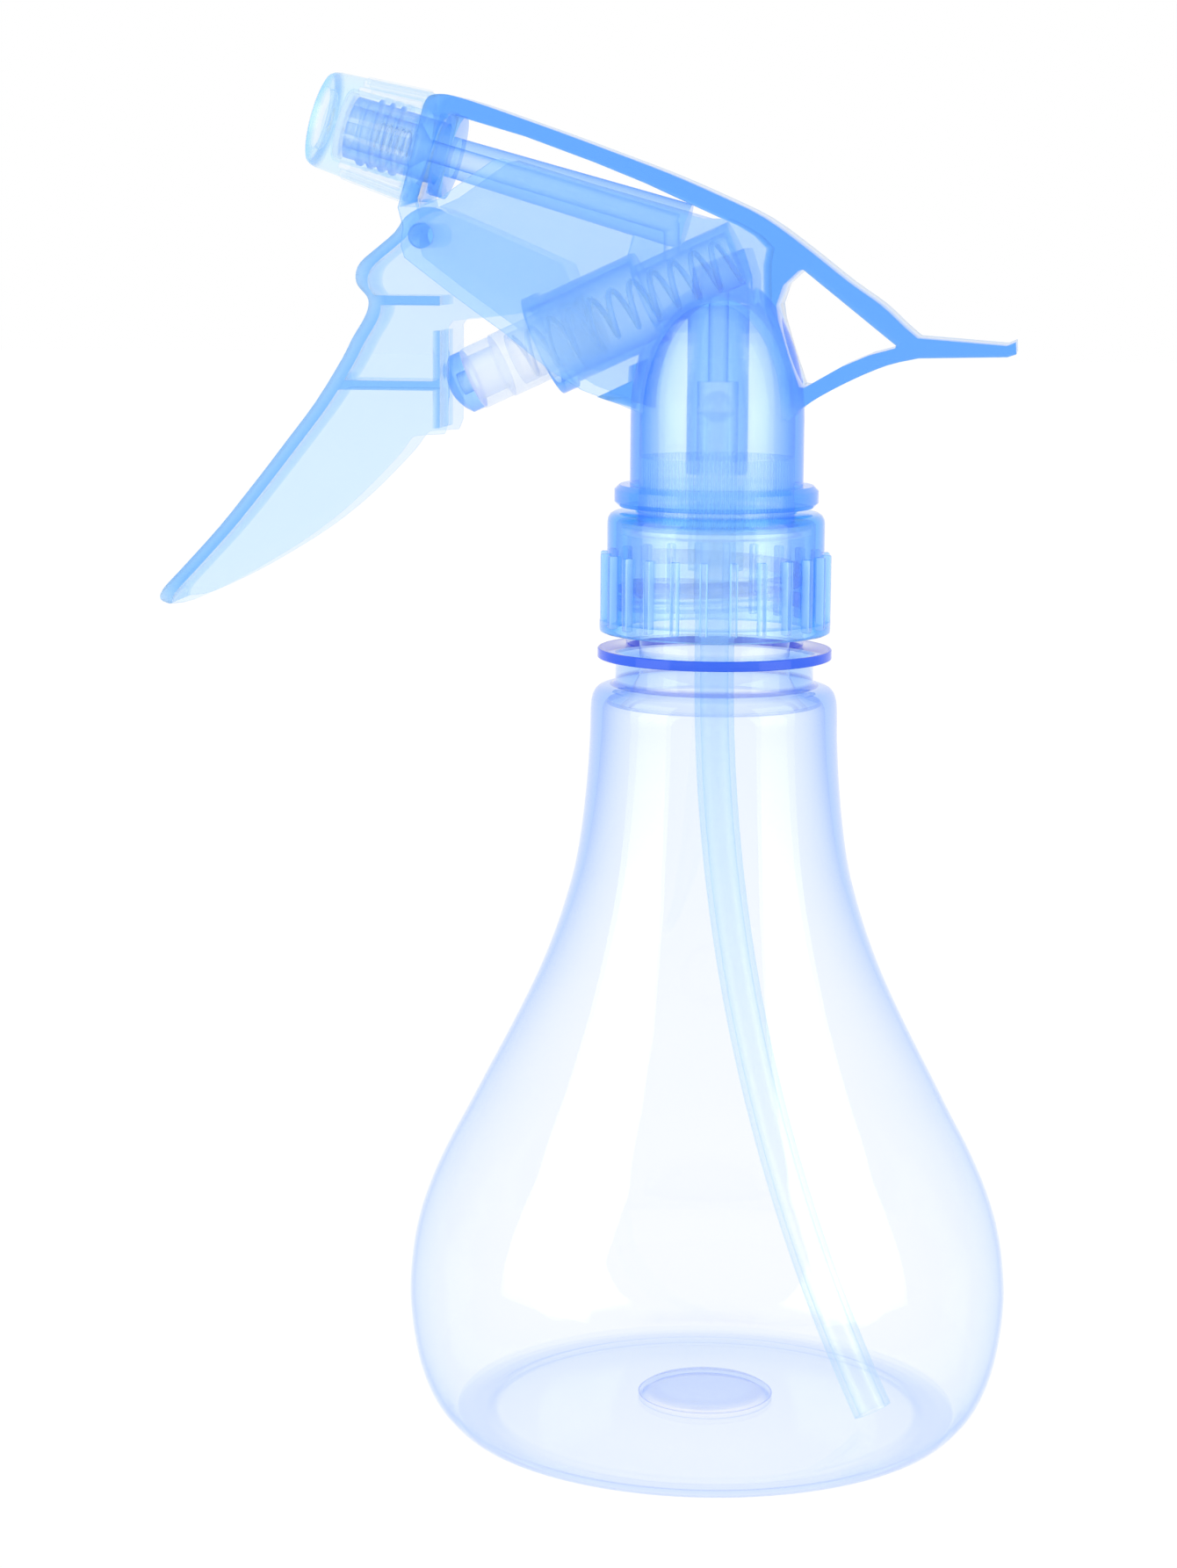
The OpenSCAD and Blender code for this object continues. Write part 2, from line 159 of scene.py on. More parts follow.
def spin_round(piece, steps):
    """Turns the piece's edges once round the Z axis and closes the seam and the poles."""
    pick(piece)
    bpy.ops.object.mode_set(mode="EDIT")
    bpy.ops.mesh.select_all(action="SELECT")
    bpy.ops.mesh.spin(
        steps=steps, angle=2 * math.pi, center=(0, 0, 0), axis=(0, 0, 1), use_auto_merge=False
    )
    bpy.ops.mesh.select_all(action="SELECT")
    bpy.ops.mesh.remove_doubles(threshold=1e-6)
    bpy.ops.mesh.dissolve_degenerate(threshold=1e-7)
    bpy.ops.mesh.select_all(action="SELECT")
    bpy.ops.mesh.normals_make_consistent(inside=False)
    bpy.ops.object.mode_set(mode="OBJECT")
    bpy.ops.object.shade_smooth_by_angle(angle=math.radians(35))
    return piece


def spun_ring(name, outline, steps):
    """Spins a closed outline of (radius, height) in millimetres round Z."""
    piece = wire_piece(name, [(r * MM, 0, z * MM) for r, z in outline], closed=True)
    return spin_round(piece, steps)


def join(first, others):
    """Joins the other pieces into the first."""
    let_go()
    for piece in [first, *others]:
        piece.select_set(True)
    bpy.context.view_layer.objects.active = first
    bpy.ops.object.join()
    return bpy.context.object


def spread_round(piece, count):
    """Copies of the piece at even angles round Z, each with its own mesh, joined into one."""
    copies = []
    for k in range(1, count):
        other = piece.copy()
        other.data = piece.data.copy()
        bpy.context.collection.objects.link(other)
        other.data.transform(Matrix.Rotation(2 * math.pi * k / count, 4, "Z"))
        copies.append(other)
    return join(piece, copies)


def bar(name, low, high, rounding):
    """A box between two corners in millimetres, with rounded edges."""
    bpy.ops.mesh.primitive_cube_add(size=1, location=[(a + b) / 2 * MM for a, b in zip(low, high)])
    piece = bpy.context.object
    piece.name = name
    piece.scale = [(b - a) * MM for a, b in zip(low, high)]
    pick(piece)
    bpy.ops.object.transform_apply(location=True, rotation=True, scale=True)
    edge = piece.modifiers.new("edge", "BEVEL")
    edge.width = rounding * MM
    edge.segments = 2
    bpy.ops.object.modifier_apply(modifier="edge")
    return piece


def paint_value(piece, label, rule):
    """Writes rule(radius, height), both in millimetres, on every point of the piece."""
    layer = piece.data.attributes.get(label) or piece.data.attributes.new(label, "FLOAT", "POINT")
    for i, point in enumerate(piece.data.vertices):
        layer.data[i].value = rule(math.hypot(point.co.x, point.co.y) / MM, point.co.z / MM)


def stand_in(piece, node, body, look):
    """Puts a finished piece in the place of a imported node."""
    finish(piece, look)
    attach(piece, body)
    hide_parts(node)
    report(piece)


def report(piece):
    """Prints the piece's faces and its size in millimetres."""
    print(piece.name, len(piece.data.polygons), "faces", [round(v / MM, 1) for v in piece.dimensions])


# %% [markdown]
# ## Materials
#
# Everything here is plastic that light goes through. Polypropylene and PET take up a little light
# for each millimetre, so a thin wall is nearly clear and a strip seen edge on is deep blue. That is
# a volume absorption inside each closed piece, behind a surface that lets most light straight
# through, scatters a little and mirrors a little more at a slant.


# %% Helpers for materials
def linear(code):
    """An sRGB hex colour as linear RGBA."""
    parts = [int(code[i : i + 2], 16) / 255 for i in (1, 3, 5)]
    return [p / 12.92 if p <= 0.04045 else ((p + 0.055) / 1.055) ** 2.4 for p in parts] + [1.0]


def add_node(tree, kind, inputs=None, links=None, **settings):
    """Adds one node, sets its properties and sockets, and links sockets to what feeds them."""
    node = tree.nodes.new(kind)
    for key, value in settings.items():
        setattr(node, key, value)
    for key, value in (inputs or {}).items():
        node.inputs[key].default_value = value
    for key, source in (links or {}).items():
        tree.links.new(source, node.inputs[key])
    return node


def new_material(name):
    """An empty node material and its tree."""
    material = bpy.data.materials.new(name)
    material.use_nodes = True
    material.node_tree.nodes.clear()
    return material, material.node_tree


print("sky blue as linear light:", [round(v, 3) for v in linear("#8CD0FF")])

# %% [markdown]
# ## Plastic that light goes through
#
# One function makes every moulded plastic here, because the pieces differ only in how much they
# scatter, tint and shine. A glass shader would bend the light and turn most of the pump into a
# dark tangle, so a transparent shader carries the light straight through thin walls. The tint
# grows as a wall slants away, as it does on a real thin wall. Where a moulding is solid or
# cloudy, a value on its points raises the scattering, and another sets how strong the tint is.
# The same scattering value also carries painted light: a painted highlight on the closure's rib
# flanks and painted shade at the step below the bottle's neck.


# %% Clear moulded plastic
def clear_plastic(
    name, body, body_share, edge, roughness, taken_up, per_metre,
    waviness=0.00003, cloud_and_painted_light_label=None, slope=2.5, rising=None,
):
    """Moulded see-through plastic: light goes straight through, scatters a little and is mirrored.

    body and body_share are the scattered colour and its share, edge is the tint at a slant, and
    taken_up and per_metre are the absorption inside. frosting names the value that raises the
    scattering where the plastic is cloudy, and where it carries painted highlights and painted shade.
    """
    material, tree = new_material(name)
    where = add_node(tree, "ShaderNodeTexCoord")
    # slow waves left by the mould, which bend the mirrored lights a little
    flow = add_node(
        tree,
        "ShaderNodeTexNoise",
        {"Scale": 1 / (14 * MM), "Detail": 3.0, "Roughness": 0.45},
        {"Vector": where.outputs["Object"]},
    )
    relief = add_node(
        tree, "ShaderNodeBump", {"Strength": 0.3, "Distance": waviness}, {"Height": flow.outputs["Fac"]}
    )
    # 0 where the wall faces the eye and 1 where it is seen edge on, the same on both sides of a wall
    slant = add_node(tree, "ShaderNodeLayerWeight", {"Blend": 0.5}, {"Normal": relief.outputs[0]})
    # the longer way through a slanting wall takes more of the red
    deeper = add_node(
        tree, "ShaderNodeMath", {1: slope}, {0: slant.outputs["Facing"]}, operation="POWER"
    )
    if cloud_and_painted_light_label:
        depth = add_node(tree, "ShaderNodeAttribute", attribute_name="depth")
        deeper = add_node(
            tree,
            "ShaderNodeMath",
            {},
            {0: deeper.outputs[0], 1: depth.outputs["Fac"]},
            operation="MULTIPLY",
        )
    tint = add_node(
        tree,
        "ShaderNodeMix",
        {"A": (1, 1, 1, 1), "B": linear(edge)},
        {"Factor": deeper.outputs[0]},
        data_type="RGBA",
    )
    straight = add_node(tree, "ShaderNodeBsdfTransparent", {}, {"Color": tint.outputs["Result"]})
    mass = add_node(
        tree,
        "ShaderNodeBsdfPrincipled",
        {"Base Color": linear(body), "Roughness": 0.5, "IOR": 1.5, "Specular IOR Level": 0.0},
    )
    share = add_node(
        tree,
        "ShaderNodeMapRange",
        {"To Min": body_share * 0.9, "To Max": body_share * 1.1},
        {"Value": flow.outputs["Fac"]},
    ).outputs[0]
    # less scattering below one height, and all of it above another
    if rising:
        low, high, faint = rising
        height = add_node(tree, "ShaderNodeSeparateXYZ", {}, {0: where.outputs["Object"]})
        climb = add_node(
            tree,
            "ShaderNodeMapRange",
            {"From Min": low, "From Max": high, "To Min": faint, "To Max": 1.0},
            {"Value": height.outputs["Z"]},
        )
        share = add_node(
            tree, "ShaderNodeMath", {}, {0: share, 1: climb.outputs[0]}, operation="MULTIPLY"
        ).outputs[0]
    # the named value raises the scattering where the plastic is cloudy, and paints highlight and shade
    # in places
    if cloud_and_painted_light_label:
        thick = add_node(tree, "ShaderNodeAttribute", attribute_name=cloud_and_painted_light_label)
        share = add_node(
            tree, "ShaderNodeMath", {}, {0: share, 1: thick.outputs["Fac"]}, operation="MAXIMUM"
        ).outputs[0]
    skin = add_node(
        tree, "ShaderNodeMixShader", {}, {0: share, 1: straight.outputs[0], 2: mass.outputs[0]}
    )
    # a mirror that is weak face on and strong at a slant
    steep = add_node(tree, "ShaderNodeMath", {1: 5.0}, {0: slant.outputs["Facing"]}, operation="POWER")
    mirrored = add_node(
        tree, "ShaderNodeMapRange", {"To Min": 0.045, "To Max": 0.9}, {"Value": steep.outputs[0]}
    )
    gloss = add_node(
        tree,
        "ShaderNodeBsdfGlossy",
        {"Color": (1, 1, 1, 1), "Roughness": roughness},
        {"Normal": relief.outputs[0]},
    )
    surface = add_node(
        tree,
        "ShaderNodeMixShader",
        {},
        {0: mirrored.outputs[0], 1: skin.outputs[0], 2: gloss.outputs[0]},
    )
    inside = add_node(
        tree, "ShaderNodeVolumeAbsorption", {"Color": linear(taken_up), "Density": per_metre}
    )
    add_node(
        tree,
        "ShaderNodeOutputMaterial",
        {},
        {"Surface": surface.outputs[0], "Volume": inside.outputs[0]},
    )
    return material


# %% [markdown]
# ## The plastics
#
# The bottle is blown from PET. The head, cover, trigger, closure and nozzle are injection-moulded
# polypropylene, and the seals and the dip tube are polyethylene. All are dyed so lightly that the
# blue comes mostly from how far the light travels inside them.

# %% The plastics
# bottle: glossy and colourless face on, pale blue at a slant, deep blue in its solid ring
bottle_pet = clear_plastic(
    "blow_moulded_PET", "#0050DC", 0.003, "#A0C2FF", 0.03, "#1CB8FF", 48,
    waviness=0.00002, cloud_and_painted_light_label="thickness",
)
# stem and barrel: satin sky blue, a little milky, darker where a wall is seen edge on
head_pp = clear_plastic(
    "moulded_PP_sky_blue", "#8CD0FF", 0.08, "#80BEFF", 0.12, "#23CEFF", 115, slope=1.6
)
# cover: milkier, so its flat sides are pale blue sheets and its edges are strong blue lines
cheek_pp = clear_plastic("moulded_PP_cheeks", "#86CAFF", 0.16, "#C0E2FF", 0.10, "#1CCCFF", 165)
# trigger: paler and shinier than the cover, with blue edges
trigger_pp = clear_plastic(
    "moulded_PP_trigger_pale_blue", "#B0DCFF", 0.07, "#CCE6FF", 0.07, "#20CAFF", 125
)
# closure: clear strong blue, with a painted highlight on the sides of its ribs, a pale scattering
# share, so that they show as stripes
closure_pp = clear_plastic(
    "moulded_PP_closure_blue", "#B4E2FF", 0.03, "#98CCFF", 0.10, "#10DCFF", 135,
    cloud_and_painted_light_label="thickness", slope=1.8,
)
# nozzle: nearly clear and shiny, with a cloudy front rim
nozzle_pp = clear_plastic(
    "moulded_PP_nozzle_pale_blue", "#80C8FF", 0.02, "#E4F4FF", 0.08, "#23E0FF", 28,
    cloud_and_painted_light_label="thickness",
)
# knurled insert: dull and very pale, with cloudy ridges that show as a ruled band
knurl_pp = clear_plastic(
    "moulded_PP_knurled_insert", "#D0EAFF", 0.05, "#E0F0FF", 0.2, "#5CDCFF", 40,
    cloud_and_painted_light_label="thickness",
)
# seals and piston: undyed, white and cloudy, without a hard shine
natural_pe = clear_plastic("moulded_PE_natural", "#F8FBFF", 0.22, "#F4F8FF", 0.25, "#C8ECFF", 25)
# dip tube: cloudy pale blue near the head and clearer towards its foot
tube_pe = clear_plastic(
    "extruded_PE_tube", "#B4E0FF", 0.16, "#D8EEFF", 0.2, "#4CD4FF", 35,
    waviness=0.00002, rising=(0.03, 0.1, 0.1),
)
print("plastics:", [m.name for m in bpy.data.materials])

# %% [markdown]
# ## Glass and steel
#
# The valve balls are small pressed glass balls, and the springs are stainless wire. The glass lets
# light straight through for the same reason as the plastics do. The wire is a metal with an uneven
# dullness left by drawing it through a die.


# %% Glass balls and steel wire
def ball_glass():
    """Pressed glass for the small valve balls: clear, with a hard bright skin."""
    material, tree = new_material("pressed_glass_ball")
    where = add_node(tree, "ShaderNodeTexCoord")
    ripple = add_node(
        tree, "ShaderNodeTexNoise", {"Scale": 1 / (2 * MM)}, {"Vector": where.outputs["Object"]}
    )
    relief = add_node(
        tree,
        "ShaderNodeBump",
        {"Strength": 0.1, "Distance": 0.00001},
        {"Height": ripple.outputs["Fac"]},
    )
    slant = add_node(tree, "ShaderNodeLayerWeight", {"Blend": 0.5}, {"Normal": relief.outputs[0]})
    steep = add_node(tree, "ShaderNodeMath", {1: 4.0}, {0: slant.outputs["Facing"]}, operation="POWER")
    mirrored = add_node(
        tree, "ShaderNodeMapRange", {"To Min": 0.06, "To Max": 0.8}, {"Value": steep.outputs[0]}
    )
    straight = add_node(tree, "ShaderNodeBsdfTransparent", {"Color": linear("#F4F8FF")})
    gloss = add_node(
        tree,
        "ShaderNodeBsdfGlossy",
        {"Color": (1, 1, 1, 1), "Roughness": 0.02},
        {"Normal": relief.outputs[0]},
    )
    surface = add_node(
        tree,
        "ShaderNodeMixShader",
        {},
        {0: mirrored.outputs[0], 1: straight.outputs[0], 2: gloss.outputs[0]},
    )
    add_node(tree, "ShaderNodeOutputMaterial", {}, {"Surface": surface.outputs[0]})
    return material


def spring_steel():
    """Drawn stainless wire: a pale grey metal with an uneven, fairly dull shine."""
    material, tree = new_material("drawn_stainless_wire")
    where = add_node(tree, "ShaderNodeTexCoord")
    drawn = add_node(
        tree,
        "ShaderNodeTexNoise",
        {"Scale": 1 / (0.8 * MM), "Detail": 2.0},
        {"Vector": where.outputs["Object"]},
    )
    dull = add_node(
        tree,
        "ShaderNodeMapRange",
        {"To Min": 0.45, "To Max": 0.65},
        {"Value": drawn.outputs["Fac"]},
    )
    metal = add_node(
        tree,
        "ShaderNodeBsdfPrincipled",
        {"Base Color": linear("#EEF1F4"), "Metallic": 1.0},
        {"Roughness": dull.outputs[0]},
    )
    add_node(tree, "ShaderNodeOutputMaterial", {}, {"Surface": metal.outputs[0]})
    return material


steel = spring_steel()
clear_glass = ball_glass()
print("made", steel.name, "and", clear_glass.name)

# %% [markdown]
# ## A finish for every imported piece
#
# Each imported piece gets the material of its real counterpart. The ones that are remade below get
# theirs again, on the finer mesh.

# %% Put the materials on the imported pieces
FINISH = {
    "bottle": bottle_pet,
    "closure_cap": closure_pp,
    "closure_gasket": natural_pe,
    "inlet_adapter": knurl_pp,
    "dip_tube": tube_pe,
    "inlet_ball": clear_glass,
    "pump_body": head_pp,
    "shroud": cheek_pp,
    "piston": natural_pe,
    "piston_collar": natural_pe,
    "piston_button": head_pp,
    "piston_seal": natural_pe,
    "piston_spring": steel,
    "trigger": trigger_pp,
    "trigger_pin": head_pp,
    "outlet_ball": clear_glass,
    "outlet_spring": steel,
    "swirl_plug": natural_pe,
    "nozzle_seal": natural_pe,
    "nozzle_cap": nozzle_pp,
}


def finish(piece, material):
    """Leaves the piece with this one material."""
    piece.data.materials.clear()
    piece.data.materials.append(material)


for node, material in FINISH.items():
    finish(frame["nodes"][node], material)
print("materials on", len(FINISH), "packed pieces")

# %% [markdown]
# ## The bottle
#
# The real one is blown from a PET preform: the neck keeps the preform's thick wall and the belly is
# stretched thin. It could be a subdivided cylinder, but an outline spun round the axis gives an even
# surface with no pinched faces, and the inner outline can come closer to the outer one where the
# wall thins.

# %% Spin the bottle's wall
# outlines are (radius, height) in millimetres from the axis and the bottle's foot
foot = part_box("bottle")[0][2]
BASE_LINE = [
    (0, 3.3), (7.4, 3.2), (8.6, 3.0), (9.4, 2.4), (10.6, 2.35), (18, 1.9), (25.6, 1.1), (30, 0.5),
    (31.6, 0.08), (32.2, 0), (34.2, 0),
]
SIDE_LINE = [
    (34.2, 0), (35.6, 0.35), (37.3, 1.3), (40, 4.8), (41.95, 10.4), (42.93, 18), (42.6, 24.4),
    (41.6, 29.7), (39.85, 34.9), (37.5, 40.1), (34.85, 45.1), (32.2, 50.3), (29.5, 55.5), (26.95, 60.6),
    (24.55, 65.8), (22.5, 71), (20.8, 76.2), (19.45, 81.4), (18.5, 87.4), (17.85, 93.8),
    (17.5, 99.6), (17.4, 104.0), (17.15, 105.7), (16.5, 106.75), (15.4, 107.2), (14.5, 107.35),
    (14.05, 107.7),
]
NECK_LINE = [
    (13.95, 108.2), (13.95, 110.8), (14.2, 111.05), (15.9, 111.1), (16.35, 111.1), (16.5, 111.22),
    (16.5, 112.38), (16.35, 112.5), (15.9, 112.5), (12.9, 112.6), (12.5, 112.8), (12.5, 128.2),
    (12.15, 128.6), (10.95, 128.6), (10.6, 128.25), (10.6, 108.5),
]
# wall thickness at a height
WALL = [(0, 0.9), (12, 0.6), (60, 0.7), (85, 1.3), (104, 1.7), (107.4, 2.6)]

SHOULDER_TOP = 107.2
BOTTLE_STEPS = 128


def read_off(rows, x):
    """The value at x on a line through (x, value) rows."""
    for (x0, y0), (x1, y1) in zip(rows, rows[1:]):
        if x <= x1:
            return y0 + (y1 - y0) * max(x - x0, 0) / (x1 - x0)
    return rows[-1][1]


outer = through(BASE_LINE, 4)[:-1] + through(SIDE_LINE, 5)
inner = []
for i, p in enumerate(outer):
    along_wall = (outer[min(i + 1, len(outer) - 1)] - outer[max(i - 1, 0)]).normalized()
    wall = read_off(WALL, p.y)
    inner.append(Vector((max(p.x - wall * along_wall.y, 0), p.y + wall * along_wall.x)))
inner[0].x = 0
inner = [p for p in inner if p.y < SHOULDER_TOP]
outline = outer + [Vector(p) for p in NECK_LINE] + list(reversed(inner))
bottle_shell = wire_piece("bottle_shell", [(p.x * MM, 0, foot + p.y * MM) for p in outline])
spin_round(bottle_shell, BOTTLE_STEPS)
print("bottle outline:", len(outline), "points")

# %% [markdown]
# The thin belly is almost colourless, while the shoulder and neck are blue at a slant, and the
# support ring is solid PET that looks dark blue. Two values on the points carry this: how cloudy
# or solid the plastic is there, and how strongly a slanting wall is tinted. The first also carries
# painted shade: a dark line of deep blue scattering at the step where the shoulder meets the neck.

# %% Mark where the bottle is solid, and paint shade at its neck step
# strength of the slant tint at a height
DEPTH = [
    (0, 0.06), (45, 0.08), (75, 0.22), (104, 0.55), (107, 0.7), (108.5, 0.2), (111, 0.2),
    (113, 0.3), (129, 0.3),
]


def mark_thickness(piece):
    """Writes how much solid PET is behind each point, with painted shade at the neck step, and how far
    the walls deepen at a slant.
    """
    solid_pet_and_crease_shade = piece.data.attributes.new("thickness", "FLOAT", "POINT")
    depth = piece.data.attributes.new("depth", "FLOAT", "POINT")
    for i, point in enumerate(piece.data.vertices):
        r, z = math.hypot(point.co.x, point.co.y) / MM, (point.co.z - foot) / MM
        depth.data[i].value = read_off(DEPTH, z)
        amount = 0.0
        if 111 < z < 112.6:  # the support ring, solid towards its rim
            amount = 0.01 + 0.95 * min(max(r - 15.9, 0) / 0.35, 1)
        # painted shade: the step where the shoulder meets the neck gets a dark line of deep blue
        # scattering
        elif 107.3 < z < 107.8 and r < 14.8:  # the step where the shoulder meets the neck
            amount = 0.5
        elif z < 4.5 and r < 36:  # the pushed-up base and the small ring at its middle
            amount = 0.05 if 7 < r < 9.8 else 0.0
            depth.data[i].value = 0.9 if r < 9.8 else 0.15 if r < 30.5 else 0.5
        solid_pet_and_crease_shade.data[i].value = amount


mark_thickness(bottle_shell)
finish(bottle_shell, bottle_pet)
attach(bottle_shell, "bottle")
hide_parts("bottle")
report(bottle_shell)

# %% [markdown]
# The neck thread is nearly one and a half turns of a low ridge with sloping sides. A spin about
# one plane can't climb, so its four corners are placed step by step up the helix and joined into a
# closed strip that tapers away at both ends.


# %% Threads
def thread_ridge(name, root, crest, low, high, start, rise, turns, first=0, steps=96):
    """A helical ridge from root radius to crest radius, wide at the root and narrow at the crest."""
    mesh = bmesh.new()
    rings = []
    count = int(steps * turns)
    for i in range(count + 1):
        angle = first + 2 * math.pi * i / steps
        fade = min(i, count - i, 12) / 12
        z = start + rise * i / steps
        top = root + (crest - root) * max(fade, 0.02)
        spots = [(root, z - low / 2), (top, z - high / 2), (top, z + high / 2), (root, z + low / 2)]
        rings.append([
            mesh.verts.new((r * MM * math.cos(angle), r * MM * math.sin(angle), h * MM))
            for r, h in spots
        ])
    for a, b in zip(rings, rings[1:]):
        for k in range(4):
            mesh.faces.new((a[k], b[k], b[(k + 1) % 4], a[(k + 1) % 4]))
    mesh.faces.new(rings[0])
    mesh.faces.new(reversed(rings[-1]))
    bmesh.ops.recalc_face_normals(mesh, faces=mesh.faces)
    data = bpy.data.meshes.new(name)
    mesh.to_mesh(data)
    mesh.free()
    piece = bpy.data.objects.new(name, data)
    bpy.context.collection.objects.link(piece)
    return piece


THREAD_START = 118.6
THREAD_PITCH = 4.23
neck_thread = thread_ridge("neck_thread", 12.45, 13.75, 2.2, 0.9, THREAD_START, THREAD_PITCH, 1.4)
for label, amount in (("thickness", 0.12), ("depth", 0.5)):
    layer = neck_thread.data.attributes.new(label, "FLOAT", "POINT")
    for value in layer.data:
        value.value = amount
neck_thread.location.z = foot
pick(neck_thread)
bpy.ops.object.transform_apply(location=True)
bpy.ops.object.shade_smooth_by_angle(angle=math.radians(30))
finish(neck_thread, bottle_pet)
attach(neck_thread, "bottle")
report(neck_thread)

# %% [markdown]
# ## The screw closure
#
# A closure is a cap moulded on a core: a smooth upper skirt, a slightly wider bottom band and ribs
# for the fingers between them. The wall is one outline spun round the axis. One rib is a rounded bar,
# copied round. Seen through the wall, the thread inside shows as slanting lines.

# %% Spin the closure and set its ribs
CAP_LINE = [
    (14.0, 115.1), (14.25, 114.8), (15.95, 114.8), (16.2, 114.95), (16.25, 115.2), (16.25, 116.3),
    (16.15, 116.5), (15.45, 116.7), (15.25, 116.9), (15.25, 130.2), (15.15, 130.8), (14.85, 131.3),
    (14.35, 131.6), (13.7, 131.7), (11.45, 131.7), (11.25, 131.55), (11.25, 130.4), (11.4, 130.3),
    (13.7, 130.3), (14.0, 130.0),
]
CLOSURE_RIBS = 24
closure_rib = bar("closure_rib", (14.95, -0.55, 115.7), (16.25, 0.55, 125.9), 0.26)
# painted highlight: the flanks of a rib catch the light, so they get a pale scattering share and its
# front doesn't
painted_rib_highlight = closure_rib.data.attributes.new("thickness", "FLOAT", "POINT")
for i, point in enumerate(closure_rib.data.vertices):
    painted_rib_highlight.data[i].value = 0.6 if abs(point.co.y) > 0.4 * MM else 0.0
closure_ribs = spread_round(closure_rib, CLOSURE_RIBS)
closure_thread = thread_ridge(
    "closure_thread", 14.05, 12.95, 1.7, 0.7,
    THREAD_START - THREAD_PITCH * 5 / 12, THREAD_PITCH, 1.2, first=math.radians(30),
)
closure_piece = join(spun_ring("closure_moulding", CAP_LINE, 144), [closure_ribs, closure_thread])
closure_piece.name = "closure_moulding"
paint_value(closure_piece, "depth", lambda r, z: 1.0)
pick(closure_piece)
bpy.ops.object.shade_smooth_by_angle(angle=math.radians(35))
stand_in(closure_piece, "closure_cap", "closure", closure_pp)

# %% [markdown]
# ## The knurled insert
#
# The insert that carries the dip tube is pressed up inside the stem. Fine upright knurls on its
# spigot grip the stem, and they show through it as a pale ruled band. The insert is spun in small
# steps, and every second column of the spigot's points is pushed in. Real knurls are finer: these
# are drawn as coarse as they need to be to show.

# %% Spin the insert and knurl its spigot
INSERT_LINE = [
    (2.82, 123.5), (3.9, 123.5), (3.9, 129.4), (13.3, 129.5), (13.4, 129.6), (13.4, 130.1),
    (13.3, 130.2), (10.85, 130.2), (10.85, 139.2), (10.7, 139.4), (9.7, 139.4), (9.6, 139.3),
    (9.6, 131.2), (3.9, 131.1), (3.9, 135.4), (3.8, 135.5), (2.85, 135.5), (2.85, 145.3),
    (2.6, 145.5), (2.4, 145.5), (1.6, 144.6),
    (1.6, 133.1), (2.82, 133.0),
]
KNURLS = 120
KNURL_DEPTH = 0.16
SPIGOT_RADIUS = 10.85
insert_piece = spun_ring("knurled_insert", INSERT_LINE, 2 * KNURLS)
paint_value(insert_piece, "depth", lambda r, z: 1.0)
paint_value(insert_piece, "thickness", lambda r, z: 0.05)
milky = insert_piece.data.attributes["thickness"]
for i, point in enumerate(insert_piece.data.vertices):
    radius = math.hypot(point.co.x, point.co.y)
    column = round(math.atan2(point.co.y, point.co.x) * KNURLS / math.pi)
    if abs(radius - SPIGOT_RADIUS * MM) < 1e-6:
        milky.data[i].value = 0.10 if column % 2 else 0.45
        if column % 2:
            point.co.x *= 1 - KNURL_DEPTH * MM / radius
            point.co.y *= 1 - KNURL_DEPTH * MM / radius
pick(insert_piece)
bpy.ops.object.shade_smooth_by_angle(angle=math.radians(25))
stand_in(insert_piece, "inlet_adapter", "head", knurl_pp)

# %% [markdown]
# ## The adjustable nozzle
#
# The nozzle is made upright on the Z axis, as it would be turned on a lathe, and then laid along the
# axis of its own joint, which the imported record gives.

# %% Spin the nozzle and lay it on its axis
NOZZLE_LINE = [
    (5.2, 0.2), (5.4, 0.0), (7.5, 0.0), (7.75, 0.1), (7.8, 0.4), (7.6, 3), (6.8, 13.4),
    (6.62, 14.2), (6.3, 14.7), (5.8, 14.9), (4.5, 14.9), (4.3, 14.7), (4.25, 13.7), (4.0, 13.5),
    (1.2, 13.5), (0.6, 13.1), (0.4, 12.8), (0.4, 11.4), (5.0, 11.4), (5.2, 11.2),
]
nozzle_joint = next(j for j in frame["joints"] if j["name"] == "nozzle_turn")
nozzle_way = Vector(nozzle_joint["axis"]).normalized()
nozzle_foot = Vector(nozzle_joint["pos_m"])
NOZZLE_RIBS = 18
NOZZLE_PITCH = 1.6
RIB_HINGE = 7.5
TAPER = math.radians(-4.6)


def nozzle_cloud(radius, height):
    """A cloudy front rim, and a little cloud on the front face inside it."""
    if height > 14.1 and radius > 6.2:
        return 0.6
    if height > 13.4 and radius < 4.6:
        return 0.1
    return 0.0


# each rib leans in to follow the taper
nozzle_rib = bar("nozzle_rib", (7.0, -0.45, 0.35), (8.05, 0.45, 9.6), 0.15)
lean = Matrix.Translation((RIB_HINGE * MM, 0, 0)) @ Matrix.Rotation(TAPER, 4, "Y")
nozzle_rib.data.transform(lean @ Matrix.Translation((-RIB_HINGE * MM, 0, 0)))
nozzle_ribs = spread_round(nozzle_rib, NOZZLE_RIBS)
nozzle_thread = thread_ridge(
    "nozzle_thread", 5.3, 4.7, 0.8, 0.35, 2, NOZZLE_PITCH, 3, first=math.pi
)
nozzle_piece = join(spun_ring("nozzle_moulding", NOZZLE_LINE, 96), [nozzle_ribs, nozzle_thread])
nozzle_piece.name = "nozzle_moulding"
paint_value(nozzle_piece, "depth", lambda r, z: 1.0)
paint_value(nozzle_piece, "thickness", nozzle_cloud)
side = Vector((0, 1, 0))
nozzle_piece.data.transform(
    Matrix.Translation(nozzle_foot)
    @ Matrix((side.cross(nozzle_way), side, nozzle_way)).transposed().to_4x4()
)
pick(nozzle_piece)
bpy.ops.object.shade_smooth_by_angle(angle=math.radians(35))
